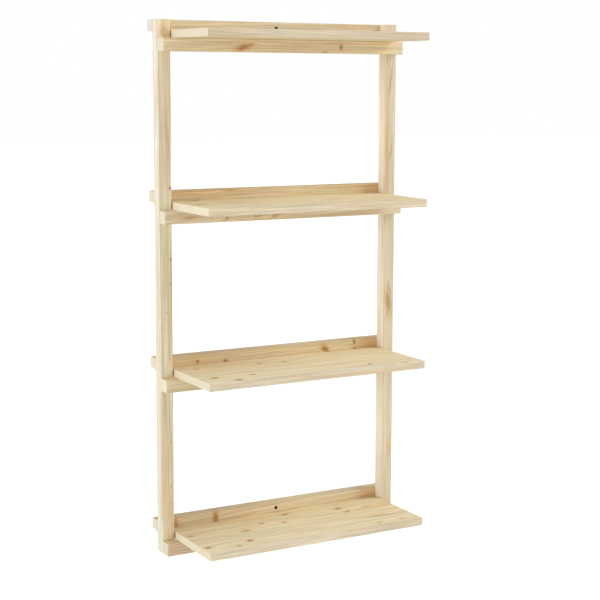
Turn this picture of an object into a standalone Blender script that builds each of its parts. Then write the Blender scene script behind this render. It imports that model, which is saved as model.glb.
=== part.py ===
"""Wall shelf of pale pine.

Two square uprights carry four shelves. Each level has a front rail across the front of the
uprights, a shelf that lies on it, and a rear rail across the back of the uprights that laps over
the back edge of the shelf and holds it down. Countersunk wood screws join the pieces.

Metres, +Z up. X runs along the shelves, -Y is the front and +Y the wall. The origin is where the
shelf hangs: the middle of the top hanging hole, in the plane of the wall.
"""

import math

import bmesh
import bpy
from mathutils import Matrix, Vector

# Driving dimensions
WIDTH = 0.600
"""Over the outer faces of the uprights, and the length of every rail."""
STOCK = 0.028
"""Side of the square stock that the uprights and all rails are cut from."""
LEVELS = 4
LEVEL_PITCH = 0.367
SHELF_THICKNESS = 0.0175
SHELF_OVERHANG = 0.181
"""From the front face of the uprights to the front edge of a shelf."""
SHELF_SIDE_GAP = 0.002
"""Between the end of a shelf and the upright beside it."""
ARRIS = 0.0006
"""Width of the eased edges of the wood."""

# Rear rail: a lip over the tongue of the shelf, and an undercut towards the wall
LAP_HEIGHT = 0.0058
"""How far a rear rail reaches below the top of its shelf."""
LAP_DEPTH = 0.008
"""How far the tongue along the back of the shelf is housed in the rear rail."""
TONGUE_DROP = 0.002
"""From the top of a shelf down to the top of its tongue."""
UNDERCUT_HEIGHT = 0.004
UNDERCUT_DEPTH = 0.015
SHOULDER_RUN = 0.009
"""Length of the slope between the undercut and the rest of the underside."""

# Hanging holes in the top and bottom rear rails
HANG_HOLE_DIAMETER = 0.007
HANG_HOLE_DROP = 0.0135
"""From the top of the rail to the middle of the hole."""
HANG_HOLE_SIDES = 24

# Countersunk wood screws
SCREW_DIAMETER = 0.004
SCREW_HEAD_DIAMETER = 0.008
SCREW_HEAD_RIM = 0.0004
SCREW_TIP_LENGTH = 0.004
SCREW_SINK = 0.0003
"""How far a screw head lies below the face of the wood."""
SCREW_SIDES = 12
RECESS_SHARE = 0.55
"""Span of the cross recess as a share of the screw head's diameter."""
RECESS_SLOT = 0.0011
RECESS_DEPTH = 0.0017
RECESS_TAPER = 0.55
"""Span of the cross recess at its bottom, as a share of its span at the top."""
UPRIGHT_COVER = 0.011
"""Wood left beyond the tip of a screw in an upright or a front rail."""
SHELF_COVER = 0.0055
"""Wood left between the tip of a screw and the top of the shelf."""
SHELF_SCREW_INSET = 0.060
"""From the end of a shelf to its screw."""

FIT_GAP = 0.0003
"""Clearance between pieces that touch."""
CUT_MARGIN = 0.002
"""How far a cutting shape stands out of the wood that it cuts."""

# Places worked out from the dimensions above
CLEAR_WIDTH = WIDTH - 2 * STOCK
SHELF_LENGTH = CLEAR_WIDTH - 2 * SHELF_SIDE_GAP
SHELF_DEPTH = SHELF_OVERHANG + STOCK + FIT_GAP + LAP_DEPTH
SHELF_BOTTOM = STOCK + FIT_GAP
SHELF_TOP = SHELF_BOTTOM + SHELF_THICKNESS
TONGUE_LENGTH = LAP_DEPTH + FIT_GAP
REAR_RAIL_BOTTOM = SHELF_TOP - LAP_HEIGHT
REAR_RAIL_TOP = REAR_RAIL_BOTTOM + STOCK
UPRIGHT_HEIGHT = (LEVELS - 1) * LEVEL_PITCH + REAR_RAIL_TOP
HANG_HOLE_HEIGHT = UPRIGHT_HEIGHT - HANG_HOLE_DROP
WALL_Y = 0.0
REAR_RAIL_FRONT_Y = WALL_Y - STOCK
UPRIGHT_BACK_Y = REAR_RAIL_FRONT_Y - FIT_GAP
UPRIGHT_FRONT_Y = UPRIGHT_BACK_Y - STOCK
FRONT_RAIL_BACK_Y = UPRIGHT_FRONT_Y - FIT_GAP
SHELF_FRONT_Y = UPRIGHT_FRONT_Y - SHELF_OVERHANG
UPRIGHT_X = (WIDTH - STOCK) / 2
SHELF_SCREW_X = SHELF_LENGTH / 2 - SHELF_SCREW_INSET
JOINT_SCREW_LENGTH = 2 * STOCK + FIT_GAP - UPRIGHT_COVER - SCREW_SINK
SHELF_SCREW_LENGTH = STOCK + FIT_GAP + SHELF_THICKNESS - SHELF_COVER - SCREW_SINK
RECESS_SPAN = RECESS_SHARE * SCREW_HEAD_DIAMETER
SIDES = {"left": -1, "right": 1}


def clear_scene():
    """Remove every object that the open file holds."""
    for old in list(bpy.data.objects):
        bpy.data.objects.remove(old, do_unlink=True)


def make_material(name, colour, roughness, metallic=0.0):
    """A plain Principled material for one kind of piece."""
    material = bpy.data.materials.new(name)
    material.use_nodes = True
    shader = material.node_tree.nodes["Principled BSDF"]
    shader.inputs["Base Color"].default_value = (*colour, 1.0)
    shader.inputs["Roughness"].default_value = roughness
    shader.inputs["Metallic"].default_value = metallic
    material.diffuse_color = (*colour, 1.0)
    return material


def place(name, mesh, location, parent=None, rotation=(0.0, 0.0, 0.0), material=None):
    """Put a mesh into the scene as a named object."""
    piece = bpy.data.objects.new(name, mesh)
    bpy.context.scene.collection.objects.link(piece)
    piece.parent = parent
    piece.location = location
    piece.rotation_euler = rotation
    if material is not None and not mesh.materials:
        mesh.materials.append(material)
    return piece


def finish_mesh(shape, name):
    """Turn a bmesh into a mesh with its faces pointing out."""
    bmesh.ops.recalc_face_normals(shape, faces=shape.faces)
    mesh = bpy.data.meshes.new(name)
    shape.to_mesh(mesh)
    shape.free()
    return mesh


def box_mesh(name, size):
    """A box centred on its origin."""
    shape = bmesh.new()
    bmesh.ops.create_cube(shape, size=1.0, matrix=Matrix.Diagonal((*size, 1.0)))
    return finish_mesh(shape, name)


def prism_mesh(name, outline, start, vector):
    """An outline of points, closed and swept along a vector."""
    shape = bmesh.new()
    face = shape.faces.new([shape.verts.new(Vector(point) + Vector(start)) for point in outline])
    swept = bmesh.ops.extrude_face_region(shape, geom=[face])
    corners = [item for item in swept["geom"] if isinstance(item, bmesh.types.BMVert)]
    bmesh.ops.translate(shape, verts=corners, vec=vector)
    return finish_mesh(shape, name)


def turned_mesh(name, profile, sides):
    """A profile of (radius, height) points turned about Z; points on the axis become poles."""
    shape = bmesh.new()
    rings = []
    for radius, height in profile:
        if radius == 0.0:
            rings.append([shape.verts.new((0.0, 0.0, height))])
            continue
        turn = [2 * math.pi * (step + 0.5) / sides for step in range(sides)]
        rings.append([shape.verts.new((radius * math.cos(a), radius * math.sin(a), height)) for a in turn])
    for lower, upper in zip(rings, rings[1:]):
        for step in range(sides):
            after = (step + 1) % sides
            corners = [lower[step % len(lower)], lower[after % len(lower)],
                       upper[after % len(upper)], upper[step % len(upper)]]
            shape.faces.new(list(dict.fromkeys(corners)))
    for ring in (rings[0], rings[-1]):
        if len(ring) > 1:
            shape.faces.new(ring)
    return finish_mesh(shape, name)


def add_cut(piece, cutter):
    """Take the cutter's shape out of a piece."""
    cut = piece.modifiers.new(cutter.name, "BOOLEAN")
    cut.operation = "DIFFERENCE"
    cut.solver = "EXACT"
    cut.object = cutter


def make_cutter(name, mesh, location, parent, rotation=(0.0, 0.0, 0.0)):
    """A shape that only cuts others."""
    cutter = place(name, mesh, location, parent, rotation)
    cutter.display_type = "WIRE"
    cutter.hide_render = True
    return cutter


def ease_edges(piece):
    """Break the sharp edges of a piece of wood."""
    bevel = piece.modifiers.new("eased edges", "BEVEL")
    bevel.width = ARRIS
    bevel.segments = 1
    bevel.limit_method = "ANGLE"
    bevel.angle_limit = math.radians(60)


def screw_profile(length, gap, above):
    """Profile of a countersunk screw from its tip at the bottom to the face of its head.

    The head's face is at height 0 and the tip at -length. The gap widens the profile all round,
    and above adds a straight rim over the head, for cutting.
    """
    shank = SCREW_DIAMETER / 2 + gap
    head = SCREW_HEAD_DIAMETER / 2 + gap
    cone = SCREW_HEAD_RIM + (SCREW_HEAD_DIAMETER - SCREW_DIAMETER) / 2
    return [(0.0, -length - gap),
            (shank, -length + SCREW_TIP_LENGTH),
            (shank, -cone),
            (head, -SCREW_HEAD_RIM),
            (head, above)]


def recess_mesh():
    """The cross recess of a screw head: a plus that narrows towards its bottom."""
    arm = RECESS_SPAN / 2
    slot = RECESS_SLOT / 2
    quarter = [(arm, slot), (slot, slot), (slot, arm)]
    outline = []
    for turn in range(4):
        spin = Matrix.Rotation(turn * math.pi / 2, 4, "Z")
        outline += [spin @ Vector((x, y, 0.0)) for x, y in quarter]
    shape = bmesh.new()
    top = [shape.verts.new(point + Vector((0, 0, CUT_MARGIN))) for point in outline]
    bottom = [shape.verts.new(Vector((point.x * RECESS_TAPER, point.y * RECESS_TAPER, -RECESS_DEPTH)))
              for point in outline]
    shape.faces.new(top)
    shape.faces.new(bottom)
    for step in range(len(outline)):
        after = (step + 1) % len(outline)
        shape.faces.new([bottom[step], bottom[after], top[after], top[step]])
    return finish_mesh(shape, "cross recess")


def screw_mesh(name, length, recess):
    """A whole screw with its recess cut, as one mesh that all screws of this length share."""
    blank = place(name, turned_mesh(name, screw_profile(length, 0.0, 0.0), SCREW_SIDES), (0, 0, 0))
    add_cut(blank, recess)
    graph = bpy.context.evaluated_depsgraph_get()
    mesh = bpy.data.meshes.new_from_object(blank.evaluated_get(graph))
    mesh.name = name
    bpy.data.objects.remove(blank, do_unlink=True)
    mesh.shade_smooth()
    mesh.set_sharp_from_angle(angle=math.radians(35))
    return mesh


class ScrewKind:
    """One length of screw with its shared meshes."""

    def __init__(self, name, length, recess, material):
        self.mesh = screw_mesh(name, length, recess)
        self.mesh.materials.append(material)
        profile = screw_profile(length, FIT_GAP, SCREW_SINK + CUT_MARGIN)
        self.bore = turned_mesh(name + " bore", profile, SCREW_SIDES)

    def drive(self, name, root, head, rotation, pieces):
        """Set one screw with its head at a point, and bore the pieces that it joins."""
        place(name, self.mesh, head, root, rotation)
        cutter = make_cutter(name + " bore", self.bore, head, root, rotation)
        for piece in pieces:
            add_cut(piece, cutter)


def rear_rail_outline():
    """Section of a rear rail in the YZ plane, from its front lower edge round."""
    foot = STOCK - UNDERCUT_DEPTH - SHOULDER_RUN
    return [(0.0, 0.0, 0.0),
            (0.0, foot, 0.0),
            (0.0, foot + SHOULDER_RUN, UNDERCUT_HEIGHT),
            (0.0, STOCK, UNDERCUT_HEIGHT),
            (0.0, STOCK, STOCK),
            (0.0, 0.0, STOCK)]


def make_uprights(root, wood):
    """The two posts, keyed by side."""
    mesh = box_mesh("upright", (STOCK, STOCK, UPRIGHT_HEIGHT))
    middle_y = UPRIGHT_FRONT_Y + STOCK / 2
    uprights = {}
    for side, sign in SIDES.items():
        spot = (sign * UPRIGHT_X, middle_y, UPRIGHT_HEIGHT / 2)
        uprights[side] = place("upright_" + side, mesh, spot, root, material=wood)
        ease_edges(uprights[side])
    return uprights


def make_front_rail(level, base, root, wood):
    """The rail that a shelf lies on."""
    mesh = box_mesh("front rail", (WIDTH, STOCK, STOCK))
    spot = (0.0, FRONT_RAIL_BACK_Y - STOCK / 2, base + STOCK / 2)
    rail = place(f"front_rail_{level}", mesh, spot, root, material=wood)
    ease_edges(rail)
    return rail


def make_shelf(level, base, root, wood):
    """A board between the uprights, rebated along the back of its top to leave a tongue."""
    mesh = box_mesh("shelf", (SHELF_LENGTH, SHELF_DEPTH, SHELF_THICKNESS))
    spot = (0.0, SHELF_FRONT_Y + SHELF_DEPTH / 2, base + SHELF_BOTTOM + SHELF_THICKNESS / 2)
    shelf = place(f"shelf_{level}", mesh, spot, root, material=wood)
    ease_edges(shelf)
    size = (WIDTH, TONGUE_LENGTH + CUT_MARGIN, TONGUE_DROP + CUT_MARGIN)
    middle = (0.0, SHELF_FRONT_Y + SHELF_DEPTH - (TONGUE_LENGTH - CUT_MARGIN) / 2,
              base + SHELF_TOP - (TONGUE_DROP - CUT_MARGIN) / 2)
    add_cut(shelf, make_cutter(f"rebate {level}", box_mesh("rebate", size), middle, root))
    return shelf


def make_rear_rail(level, base, root, wood):
    """The rail behind the uprights, with the housing that laps over the shelf's tongue."""
    start = (-WIDTH / 2, 0.0, 0.0)
    mesh = prism_mesh("rear rail", rear_rail_outline(), start, (WIDTH, 0.0, 0.0))
    spot = (0.0, REAR_RAIL_FRONT_Y, base + REAR_RAIL_BOTTOM)
    rail = place(f"rear_rail_{level}", mesh, spot, root, material=wood)
    ease_edges(rail)
    lap = LAP_HEIGHT - TONGUE_DROP + FIT_GAP
    housing = box_mesh("housing", (CLEAR_WIDTH, TONGUE_LENGTH + CUT_MARGIN, lap + CUT_MARGIN))
    middle = (0.0, REAR_RAIL_FRONT_Y + (TONGUE_LENGTH - CUT_MARGIN) / 2, spot[2] + (lap - CUT_MARGIN) / 2)
    add_cut(rail, make_cutter(f"housing {level}", housing, middle, root))
    return rail


def bore_hanging_hole(rail, level, base, root):
    """The hole that a wall screw goes through."""
    radius = HANG_HOLE_DIAMETER / 2
    profile = [(radius, -CUT_MARGIN), (radius, STOCK + CUT_MARGIN)]
    drill = turned_mesh("hanging hole", profile, HANG_HOLE_SIDES)
    spot = (0.0, WALL_Y, base + REAR_RAIL_TOP - HANG_HOLE_DROP)
    add_cut(rail, make_cutter(f"hanging hole {level}", drill, spot, root, (math.pi / 2, 0.0, 0.0)))


def build():
    """Model the whole shelf."""
    clear_scene()
    post_wood = make_material("upright pine", (0.80, 0.66, 0.44), 0.55)
    rail_wood = make_material("rail pine", (0.78, 0.62, 0.38), 0.55)
    shelf_wood = make_material("shelf pine", (0.83, 0.68, 0.45), 0.5)
    steel = make_material("zinc-plated steel", (0.62, 0.62, 0.60), 0.35, 1.0)
    root = bpy.data.objects.new("wall shelf", None)
    bpy.context.scene.collection.objects.link(root)
    root.location.z = -HANG_HOLE_HEIGHT
    recess = make_cutter("cross recess", recess_mesh(), (0, 0, 0), root)
    joint_screw = ScrewKind("joint screw", JOINT_SCREW_LENGTH, recess, steel)
    board_screw = ScrewKind("shelf screw", SHELF_SCREW_LENGTH, recess, steel)
    from_behind = (-math.pi / 2, 0.0, 0.0)
    from_below = (math.pi, 0.0, 0.0)
    uprights = make_uprights(root, post_wood)
    for level in range(1, LEVELS + 1):
        base = (level - 1) * LEVEL_PITCH
        front_rail = make_front_rail(level, base, root, rail_wood)
        shelf = make_shelf(level, base, root, shelf_wood)
        rear_rail = make_rear_rail(level, base, root, rail_wood)
        if level in (1, LEVELS):
            bore_hanging_hole(rear_rail, level, base, root)
        for side, sign in SIDES.items():
            upright = uprights[side]
            head = (sign * UPRIGHT_X, WALL_Y - SCREW_SINK, base + REAR_RAIL_TOP - STOCK / 2)
            joint_screw.drive(f"rear_rail_screw_{level}_{side}", root, head, from_behind, (rear_rail, upright))
            head = (sign * UPRIGHT_X, UPRIGHT_BACK_Y - SCREW_SINK, base + STOCK / 2)
            joint_screw.drive(f"front_rail_screw_{level}_{side}", root, head, from_behind, (upright, front_rail))
            head = (sign * SHELF_SCREW_X, FRONT_RAIL_BACK_Y - STOCK / 2, base + SCREW_SINK)
            board_screw.drive(f"shelf_screw_{level}_{side}", root, head, from_below, (front_rail, shelf))


build()
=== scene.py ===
"""Wall shelf of pale pine, dressed for its picture.

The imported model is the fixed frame. Every piece of wood is built again on the box of its own node,
with rounded arrises, the same joints and bores, and a pine made of growth rings, fibres and knots.
The screws are cut with threads and cross recesses and driven where the frame has them.

Metres, +Z up. X runs along the shelves, -Y is the front and +Y the wall.
"""

import logging
import math
from dataclasses import dataclass, field, replace
from enum import Enum

import bmesh
import bpy
from mathutils import Matrix, Vector


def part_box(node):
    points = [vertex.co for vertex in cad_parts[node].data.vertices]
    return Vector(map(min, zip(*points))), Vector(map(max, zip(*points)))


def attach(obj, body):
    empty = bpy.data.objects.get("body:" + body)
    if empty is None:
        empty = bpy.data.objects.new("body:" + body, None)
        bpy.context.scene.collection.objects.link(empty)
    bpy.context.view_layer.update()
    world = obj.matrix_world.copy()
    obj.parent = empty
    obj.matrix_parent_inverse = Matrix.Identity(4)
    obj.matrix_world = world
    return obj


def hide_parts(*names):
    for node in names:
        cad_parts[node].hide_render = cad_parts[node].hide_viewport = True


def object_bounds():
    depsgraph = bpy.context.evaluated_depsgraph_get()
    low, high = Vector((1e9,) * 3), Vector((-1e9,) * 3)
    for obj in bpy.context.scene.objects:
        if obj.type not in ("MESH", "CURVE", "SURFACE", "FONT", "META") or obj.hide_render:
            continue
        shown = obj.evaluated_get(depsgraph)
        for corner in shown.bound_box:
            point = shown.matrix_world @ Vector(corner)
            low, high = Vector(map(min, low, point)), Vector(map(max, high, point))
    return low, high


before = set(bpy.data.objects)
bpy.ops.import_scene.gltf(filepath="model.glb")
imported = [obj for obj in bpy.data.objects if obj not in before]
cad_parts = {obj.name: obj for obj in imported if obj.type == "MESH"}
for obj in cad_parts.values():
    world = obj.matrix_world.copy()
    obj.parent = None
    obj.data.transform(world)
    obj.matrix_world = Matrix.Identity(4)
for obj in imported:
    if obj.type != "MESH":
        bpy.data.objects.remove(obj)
CAD_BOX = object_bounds()

LOG = logging.getLogger("wall shelf")

Material = bpy.types.Material
Mesh = bpy.types.Mesh
Node = bpy.types.Node
Object = bpy.types.Object
Colour = tuple[float, float, float]
Point = tuple[float, float, float]
Outline = list[tuple[float, float]]
Names = tuple[str, ...]
Ports = dict[str, str]

SIDES = ("left", "right")
LEVELS = (1, 2, 3, 4)
FIT_GAP = 0.0003
"""Between pieces that touch."""
CUT_MARGIN = 0.002
"""How far a cutter stands over the faces that it cuts through."""


class Lay(Enum):
    """How a piece lies in its board: turns from the object's axes to along, across and depth."""

    BOARD = (0.0, 0.0, 0.0)
    """Fibres along X, show face up."""
    RAIL = (-90.0, 0.0, 0.0)
    """Fibres along X, show face to the front."""
    POST = (-90.0, 0.0, -90.0)
    """Fibres along Z, show face to the front."""

    def angles(self) -> Point:
        """The three turns, in radians."""
        return tuple(math.radians(angle) for angle in self.value)

    def turn(self) -> Matrix:
        """Rotation that takes a direction of the object into the piece's own axes."""
        x, y, z = self.angles()
        return Matrix.Rotation(z, 3, "Z") @ Matrix.Rotation(y, 3, "Y") @ Matrix.Rotation(x, 3, "X")

    def stand(self, low: Vector, high: Vector) -> Matrix:
        """Find where a length that was run along X goes.

        Args:
            low: Lowest corner of the piece.
            high: Its highest corner.

        Returns:
            The move, which also sets a post upright.
        """
        if self is not Lay.POST:
            return Matrix.Translation(low)
        upright = Matrix(((0, 0, -1, 0), (0, 1, 0, 0), (1, 0, 0, 0), (0, 0, 0, 1)))
        return Matrix.Translation((high.x, low.y, low.z)) @ upright


# Building node trees


@dataclass(frozen=True, eq=False)
class Value:
    """What a node puts out, to reckon with as with a number or a vector.

    Attributes:
        tree: The tree that it is in.
        socket: The node's output.
    """

    tree: "Tree"
    socket: bpy.types.NodeSocket

    def step(self, operation: str, *others: "Feed") -> "Value":
        """One step of arithmetic, of the kind that suits the value."""
        reckon = self.tree.math if self.socket.type == "VALUE" else self.tree.vector
        return reckon(operation, self, *others)

    def __add__(self, other: "Feed") -> "Value":
        """The sum."""
        return self.step("ADD", other)

    def __sub__(self, other: "Feed") -> "Value":
        """The difference."""
        return self.step("SUBTRACT", other)

    def __mul__(self, other: "Feed") -> "Value":
        """The product."""
        return self.step("MULTIPLY", other)

    def __truediv__(self, other: "Feed") -> "Value":
        """The quotient."""
        return self.step("DIVIDE", other)

    def __abs__(self) -> "Value":
        """The value without its sign."""
        return self.step("ABSOLUTE")


Feed = float | Point | Value
Feeds = dict[str | int, Feed]


class Tree:
    """A node tree that is built one node at a time."""

    def __init__(self, tree: bpy.types.NodeTree) -> None:
        """Start on a shader or geometry tree."""
        self.tree = tree

    def wire(self, node: Node, inputs: Feeds) -> None:
        """Feed a node: a value is linked, and a constant is set.

        Args:
            node: The node.
            inputs: What feeds its inputs, by name or index.
        """
        for key, feed in inputs.items():
            socket = node.inputs[key]
            if isinstance(feed, Value):
                self.tree.links.new(feed.socket, socket)
            else:
                socket.default_value = (*feed, 1.0) if socket.type == "RGBA" else feed

    def node(self, kind: str, inputs: Feeds | None = None, **settings: object) -> Node:
        """Add a node of some kind, with its inputs and its own settings.

        Args:
            kind: Its type's name.
            inputs: What feeds its inputs.
            **settings: Its own properties.

        Returns:
            The node.
        """
        made = self.tree.nodes.new(kind)
        for name, value in settings.items():
            setattr(made, name, value)
        self.wire(made, inputs or {})
        return made

    def out(self, output: str | int, kind: str, inputs: Feeds | None = None, **settings: object) -> Value:
        """One output of a new node."""
        return Value(self, self.node(kind, inputs, **settings).outputs[output])

    def math(self, operation: str, *values: Feed, clamp: bool = False) -> Value:
        """One step of arithmetic on numbers."""
        return self.out(0, "ShaderNodeMath", dict(enumerate(values)), operation=operation, use_clamp=clamp)

    def vector(self, operation: str, *values: Feed) -> Value:
        """One step of arithmetic on vectors."""
        output = "Value" if operation == "LENGTH" else "Vector"
        return self.out(output, "ShaderNodeVectorMath", dict(enumerate(values)), operation=operation)

    def split(self, vector: Feed) -> list[Value]:
        """The three parts of a vector."""
        return [Value(self, part) for part in self.node("ShaderNodeSeparateXYZ", {0: vector}).outputs]

    def join(self, x: Feed, y: Feed, z: Feed) -> Value:
        """A vector from its three parts."""
        return self.out(0, "ShaderNodeCombineXYZ", {0: x, 1: y, 2: z})

    def ramp(self, value: Feed, start: float, end: float, low: Feed = 0.0, high: Feed = 1.0) -> Value:
        """A soft step from low to high, while a value goes from start to end."""
        inputs = {"Value": value, "From Min": start, "From Max": end, "To Min": low, "To Max": high}
        return self.out("Result", "ShaderNodeMapRange", inputs, interpolation_type="SMOOTHSTEP")

    def noise(self, place: Value, scale: Point, shift: Feed, detail: float = 2.0, rough: float = 0.5,
              output: str = "Fac") -> Value:
        """Soft noise from 0 to 1: scale is in patches for each metre, and shift tells pieces apart."""
        inputs = {"Vector": place * scale + shift, "Scale": 1.0, "Detail": detail, "Roughness": rough}
        return self.out(output, "ShaderNodeTexNoise", inputs)

    def blend(self, factor: Feed, a: Feed, b: Feed) -> Value:
        """One colour laid over another, as far as a factor says."""
        return self.out(2, "ShaderNodeMix", {0: factor, 6: a, 7: b}, data_type="RGBA")

    def tinted(self, factor: Feed, colour: Value, tint: Colour) -> Value:
        """A colour multiplied by a tint, as far as a factor says."""
        return self.blend(factor, colour, colour * tint)

    def mapping(self, kind: str, place: Feed, spot: Point, turn: Point, size: Point = (1, 1, 1)) -> Value:
        """A point that is moved and turned, or with TEXTURE seen from axes that are."""
        inputs = {"Vector": place, "Location": spot, "Rotation": turn, "Scale": size}
        return self.out(0, "ShaderNodeMapping", inputs, vector_type=kind)


def start_group(name: str, inputs: Ports, outputs: Ports) -> tuple[Tree, dict[str, Value], Node]:
    """Make an empty shader group.

    Args:
        name: The group's name.
        inputs: The kind of each of its inputs, by name.
        outputs: The kind of each of its outputs, by name.

    Returns:
        The tree, its inputs by name, and the node that takes its outputs.
    """
    group = bpy.data.node_groups.new(name, "ShaderNodeTree")
    for ports, side in ((inputs, "INPUT"), (outputs, "OUTPUT")):
        for port, kind in ports.items():
            group.interface.new_socket(port, in_out=side, socket_type="NodeSocket" + kind)
    tree = Tree(group)
    source = tree.node("NodeGroupInput").outputs
    return tree, {port: Value(tree, source[port]) for port in inputs}, tree.node("NodeGroupOutput")


def start_material(name: str) -> tuple[Material, Tree, Node]:
    """Make a new material.

    Args:
        name: The material's name.

    Returns:
        The material, its tree and its shader node.
    """
    material = bpy.data.materials.new(name)
    material.use_nodes = True
    return material, Tree(material.node_tree), material.node_tree.nodes["Principled BSDF"]


# Effects that several materials share

FIBRE_SCALE = (45.0, 1900.0, 1900.0)
DUCT_SCALE = (95.0, 2600.0, 2600.0)
OPEN_DUCT = (0.70, 0.80)
BEND = (0.0, 0.012, 0.012)
KNOT_SWELL = 0.0045
PLANER_PITCH = 0.0022

WARM_STREAK = (0.96, 0.83, 0.68)
GREEN_STREAK = (0.93, 0.96, 0.84)
RESIN_TINT = (0.90, 0.68, 0.46)
DUCT_BROWN = (0.42, 0.25, 0.11)
BRANCH_BROWN = (0.27, 0.120, 0.042)

KNOT_MARKS = {"Core": "Float", "Stain": "Float", "Swell": "Float"}


class Effects:
    """The shader groups, each built once."""

    def __init__(self) -> None:
        """Build every group."""
        self.knot = self.make_knot()
        self.grain = self.make_grain()
        self.relief = self.make_relief()
        self.arris = self.make_arris()

    @staticmethod
    def make_knot() -> bpy.types.NodeTree:
        """A branch sawn across, laid over the knots before it.

        Returns:
            A group that reads a point in the knot's own axes, where its rim is at a radius of 1.
        """
        tree, port, sink = start_group(
            "knot", {"Place": "Vector", "Darkness": "Float", "Blush": "Float", **KNOT_MARKS}, KNOT_MARKS)
        place, dark = port["Place"], port["Darkness"]
        uneven = (tree.noise(place, (1.1, 1.1, 0.4), dark, detail=1.0) - 0.5) * 0.7
        radius = tree.vector("LENGTH", place) + uneven
        shade = (tree.math("SINE", radius * 13.0) * 0.1 + 0.88) * (dark * 1.3)
        core = tree.ramp(radius, 1.45, 0.45) * shade
        rim = tree.ramp(abs(radius - 0.85), 0.28, 0.04) * (dark * 0.25)
        reach = tree.vector("LENGTH", place * (0.7, 1.0, 1.0)) + uneven
        own = {
            "Core": tree.math("ADD", core, rim, clamp=True),
            "Stain": tree.ramp(reach, 2.4, 0.5) * port["Blush"],
            "Swell": tree.ramp(reach, 2.9, 0.0),
        }
        tree.wire(sink, {mark: tree.math("MAXIMUM", port[mark], value) for mark, value in own.items()})
        return tree.tree

    @staticmethod
    def make_grain() -> bpy.types.NodeTree:
        """Solid pine: growth rings round a pith, fibres along the tree, streaks and stain.

        Returns:
            A group that reads a point along, across and deep in the board, in metres.
        """
        tree, port, sink = start_group(
            "pine grain",
            {"Place": "Vector", "Pith": "Vector", "Drift": "Float", "Ring": "Float", "Seed": "Vector",
             "Early": "Color", "Late": "Color", "Lines": "Float", "Streaks": "Float", "Tint": "Color",
             **KNOT_MARKS},
            {"Color": "Color", "Roughness": "Float"})
        place, seed, streaks = port["Place"], port["Seed"], port["Streaks"]
        along, _, _ = tree.split(place)
        heart = port["Pith"] + tree.join(0.0, along * port["Drift"], 0.0)
        bend = tree.noise(place, (3.1, 12.0, 12.0), seed, detail=1.0, output="Color") - (0.5, 0.5, 0.5)
        from_heart = place - heart + bend * BEND
        radius = tree.vector("LENGTH", from_heart * (0.0, 1.0, 1.0)) + port["Swell"] * KNOT_SWELL
        rings = radius / port["Ring"] + tree.noise(place, (16.0, 110.0, 110.0), seed) * 0.35
        pace = {"W": rings * 0.31, "Scale": 1.0, "Detail": 1.0}
        rings = rings + tree.out("Fac", "ShaderNodeTexNoise", pace, noise_dimensions="1D") * 1.9
        year = tree.math("FRACT", rings)
        late = tree.ramp(year, 0.35, 0.9) * tree.ramp(year, 1.0, 0.92)
        number = {"W": tree.math("FLOOR", rings)}
        luck = tree.out("Value", "ShaderNodeTexWhiteNoise", number, noise_dimensions="1D")
        line = late * (luck * 0.7 + 0.3) * port["Lines"]

        fibre = tree.noise(place, FIBRE_SCALE, seed, rough=0.6)
        streak = tree.noise(from_heart, (4.5, 190.0, 190.0), seed, detail=3.0, rough=0.65)
        broad = tree.noise(from_heart, (3.4, 66.0, 66.0), seed)
        duct = tree.ramp(tree.noise(place, DUCT_SCALE, seed, detail=0.0), *OPEN_DUCT)

        colour = tree.blend(line, port["Early"], port["Late"])
        colour = tree.tinted(tree.ramp(broad, 0.46, 0.66) * streaks, colour, WARM_STREAK)
        colour = tree.tinted(tree.ramp(broad, 0.46, 0.32) * streaks, colour, GREEN_STREAK)
        tone = (streak - 0.5) * streaks * 1.9 + (fibre - 0.5) * 0.16 + 1.03
        colour = colour * tone * port["Tint"]
        colour = tree.blend(duct * tree.ramp(year, 0.3, 0.7) * 0.35, colour, DUCT_BROWN)
        colour = tree.tinted(port["Stain"], colour, RESIN_TINT)
        colour = tree.blend(port["Core"], colour, BRANCH_BROWN)
        rough = fibre * 0.16 - line * 0.08 - port["Core"] * 0.12 + 0.62
        tree.wire(sink, {"Color": colour, "Roughness": rough})
        return tree.tree

    @staticmethod
    def make_relief() -> bpy.types.NodeTree:
        """The planed surface: fibres that stand up a little, open ducts and the planer's faint waves.

        Returns:
            A group that reads a point along, across and deep in the board, in metres.
        """
        tree, port, sink = start_group("planed surface", {"Place": "Vector", "Seed": "Vector"},
                                       {"Height": "Float"})
        place, seed = port["Place"], port["Seed"]
        along, _, _ = tree.split(place)
        fibre = tree.noise(place, FIBRE_SCALE, seed, rough=0.6)
        duct = tree.ramp(tree.noise(place, DUCT_SCALE, seed, detail=0.0), *OPEN_DUCT)
        wave = tree.math("SINE", along * (2 * math.pi / PLANER_PITCH))
        tree.wire(sink, {"Height": fibre - duct * 0.6 + wave * 0.04})
        return tree.tree

    @staticmethod
    def make_arris() -> bpy.types.NodeTree:
        """The band along the edges of a box-shaped piece, which is given painted shade.

        Returns:
            A group that reads a point from the middle of the piece and the piece's half size.
        """
        inputs = {"Place": "Vector", "Half": "Vector", "Reach": "Float", "Seed": "Vector"}
        tree, port, sink = start_group("arris", inputs, {"Band": "Float"})
        x, y, z = tree.split(port["Half"] - abs(port["Place"]))
        smaller, larger = tree.math("MINIMUM", x, y), tree.math("MAXIMUM", x, y)
        near = tree.math("MAXIMUM", smaller, tree.math("MINIMUM", larger, z))
        patchy = tree.noise(port["Place"], (60.0, 300.0, 300.0), port["Seed"])
        tree.wire(sink, {"Band": tree.ramp(near / port["Reach"] + (patchy - 0.5) * 0.9, 1.0, 0.1)})
        return tree.tree


# Finishes

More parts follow.
